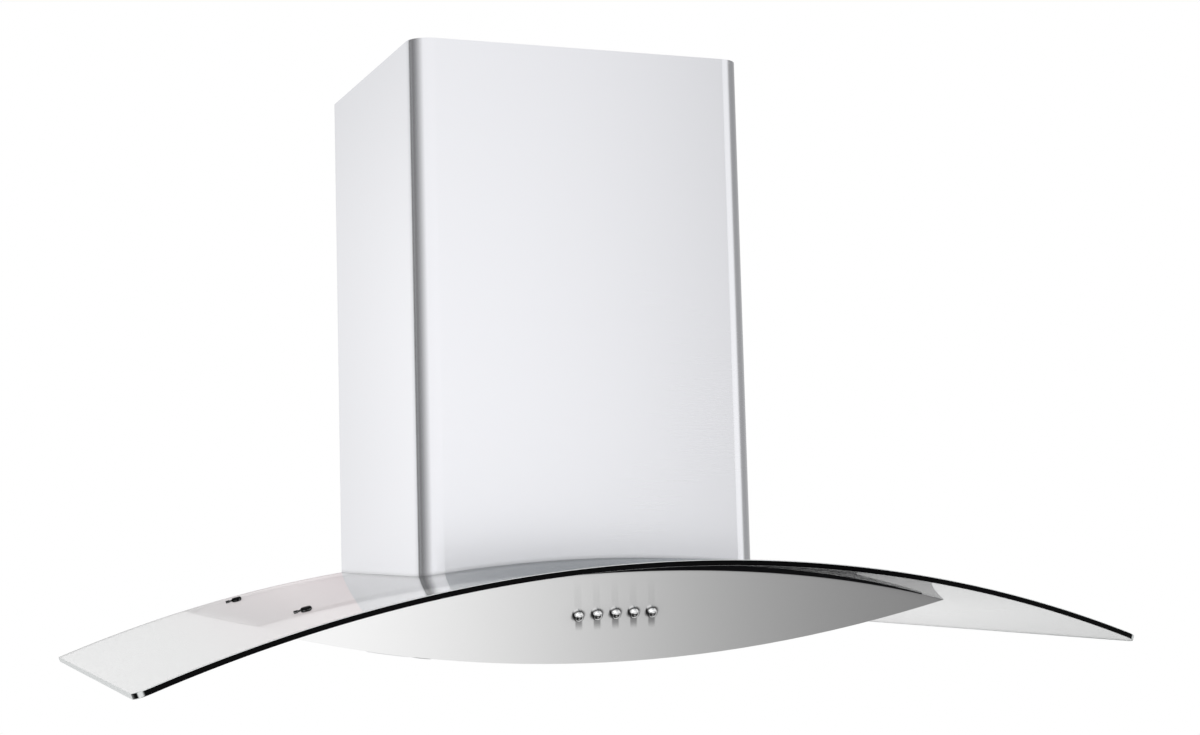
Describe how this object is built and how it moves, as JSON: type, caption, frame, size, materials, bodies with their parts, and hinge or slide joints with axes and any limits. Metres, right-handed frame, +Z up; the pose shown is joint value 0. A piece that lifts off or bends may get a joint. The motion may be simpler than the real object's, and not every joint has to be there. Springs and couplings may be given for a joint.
{
  "type": "range hood",
  "caption": "Wall range hood with a bent glass canopy on a lens-shaped steel body, a telescopic chimney, hinged filters and a double-inlet blower.",
  "frame": {"origin": "on the wall plane and the centre line, level with the crown of the glass", "axes": "+X to the right as seen from the room, +Y into the wall, +Z up"},
  "size_m": [0.9, 0.5, 0.573],
  "materials": {
    "glass": "clear polished glass, slightly grey-green at its edges",
    "brushed_steel": "stainless steel with a fine horizontal grain",
    "sheet_steel": "plain galvanised sheet",
    "aluminium": "satin aluminium",
    "chrome": "polished chrome",
    "fastener": "black finished steel",
    "steel_pin": "bright steel",
    "rubber": "soft black rubber",
    "black_plastic": "matte black plastic",
    "grey_plastic": "matte grey plastic",
    "white_plastic": "glossy white plastic",
    "lamp_lens": "frosted glass"
  },
  "bodies": {
    "hood": {"glass_canopy": "glass", "glass_seal": "rubber", "glass_bushes": "rubber", "glass_caps": "fastener", "glass_screws": "fastener", "glass_nuts": "steel_pin", "fascia_panel": "brushed_steel", "switch_bank": "black_plastic", "back_plate": "sheet_steel", "top_panel": "sheet_steel", "bottom_pan": "brushed_steel", "filter_well_right": "brushed_steel", "filter_well_left": "brushed_steel", "scroll_right": "grey_plastic", "scroll_left": "grey_plastic", "motor": "aluminium", "motor_bracket": "sheet_steel", "motor_bushes": "rubber", "motor_screws": "steel_pin", "motor_housing": "sheet_steel", "housing_screws": "steel_pin", "outlet_collar": "black_plastic", "damper_pin": "steel_pin", "terminal_box": "white_plastic", "terminal_lid": "white_plastic", "cable_gland": "black_plastic", "capacitor": "white_plastic", "chimney_cover": "brushed_steel", "lamp_bezel_left": "chrome", "lamp_lens_left": "lamp_lens", "lamp_module_left": "aluminium", "lamp_bezel_right": "chrome", "lamp_lens_right": "lamp_lens", "lamp_module_right": "aluminium"},
    "impeller": {"impeller": "black_plastic", "motor_shaft": "steel_pin"},
    "damper_front": {"damper_front": "aluminium"},
    "damper_rear": {"damper_rear": "aluminium"},
    "upper_chimney": {"upper_chimney": "brushed_steel", "chimney_bracket": "sheet_steel"},
    "filter_right": {"filter_frame_right": "aluminium", "filter_mesh_right": "aluminium"},
    "filter_left": {"filter_frame_left": "aluminium", "filter_mesh_left": "aluminium"},
    "latch_right": {"filter_latch_right": "black_plastic"},
    "latch_left": {"filter_latch_left": "black_plastic"},
    "button_1": {"button_1": "chrome"},
    "button_2": {"button_2": "chrome"},
    "button_3": {"button_3": "chrome"},
    "button_4": {"button_4": "chrome"},
    "button_5": {"button_5": "chrome"}
  },
  "joints": [
    {"name": "wheel_spin", "type": "hinge", "parent": "hood", "child": "impeller", "pos_m": [0, -0.1041, 0.112], "axis": [1, 0, 0], "continuous": true},
    {"name": "damper_front_lift", "type": "hinge", "parent": "hood", "child": "damper_front", "pos_m": [0, -0.17985, 0.254], "axis": [-1, 0, 0], "range_deg": [0, 80]},
    {"name": "damper_rear_lift", "type": "hinge", "parent": "hood", "child": "damper_rear", "pos_m": [0, -0.17985, 0.254], "axis": [1, 0, 0], "range_deg": [0, 80]},
    {"name": "chimney_slide", "type": "slide", "parent": "hood", "child": "upper_chimney", "axis": [0, 0, 1], "range_m": [0, 0.35]},
    {"name": "filter_right_hinge", "type": "hinge", "parent": "hood", "child": "filter_right", "pos_m": [0.13424, -0.0365, -0.07803], "axis": [0.994, 0, 0.109], "range_deg": [0, 60]},
    {"name": "latch_right_slide", "type": "slide", "parent": "filter_right", "child": "latch_right", "axis": [0, 1, 0], "range_m": [0, 0.006], "stiffness_N_per_m": 150, "springref_m": -0.01},
    {"name": "filter_left_hinge", "type": "hinge", "parent": "hood", "child": "filter_left", "pos_m": [-0.13424, -0.0365, -0.07803], "axis": [0.994, 0, -0.109], "range_deg": [0, 60]},
    {"name": "latch_left_slide", "type": "slide", "parent": "filter_left", "child": "latch_left", "axis": [0, 1, 0], "range_m": [0, 0.006], "stiffness_N_per_m": 150, "springref_m": -0.01},
    {"name": "button_1_push", "type": "slide", "parent": "hood", "child": "button_1", "axis": [0, 0.766, 0.6428], "range_m": [0, 0.003], "stiffness_N_per_m": 400, "springref_m": -0.002},
    {"name": "button_2_push", "type": "slide", "parent": "hood", "child": "button_2", "axis": [0, 0.766, 0.6428], "range_m": [0, 0.003], "stiffness_N_per_m": 400, "springref_m": -0.002},
    {"name": "button_3_push", "type": "slide", "parent": "hood", "child": "button_3", "axis": [0, 0.766, 0.6428], "range_m": [0, 0.003], "stiffness_N_per_m": 400, "springref_m": -0.002},
    {"name": "button_4_push", "type": "slide", "parent": "hood", "child": "button_4", "axis": [0, 0.766, 0.6428], "range_m": [0, 0.003], "stiffness_N_per_m": 400, "springref_m": -0.002},
    {"name": "button_5_push", "type": "slide", "parent": "hood", "child": "button_5", "axis": [0, 0.766, 0.6428], "range_m": [0, 0.003], "stiffness_N_per_m": 400, "springref_m": -0.002}
  ]
}
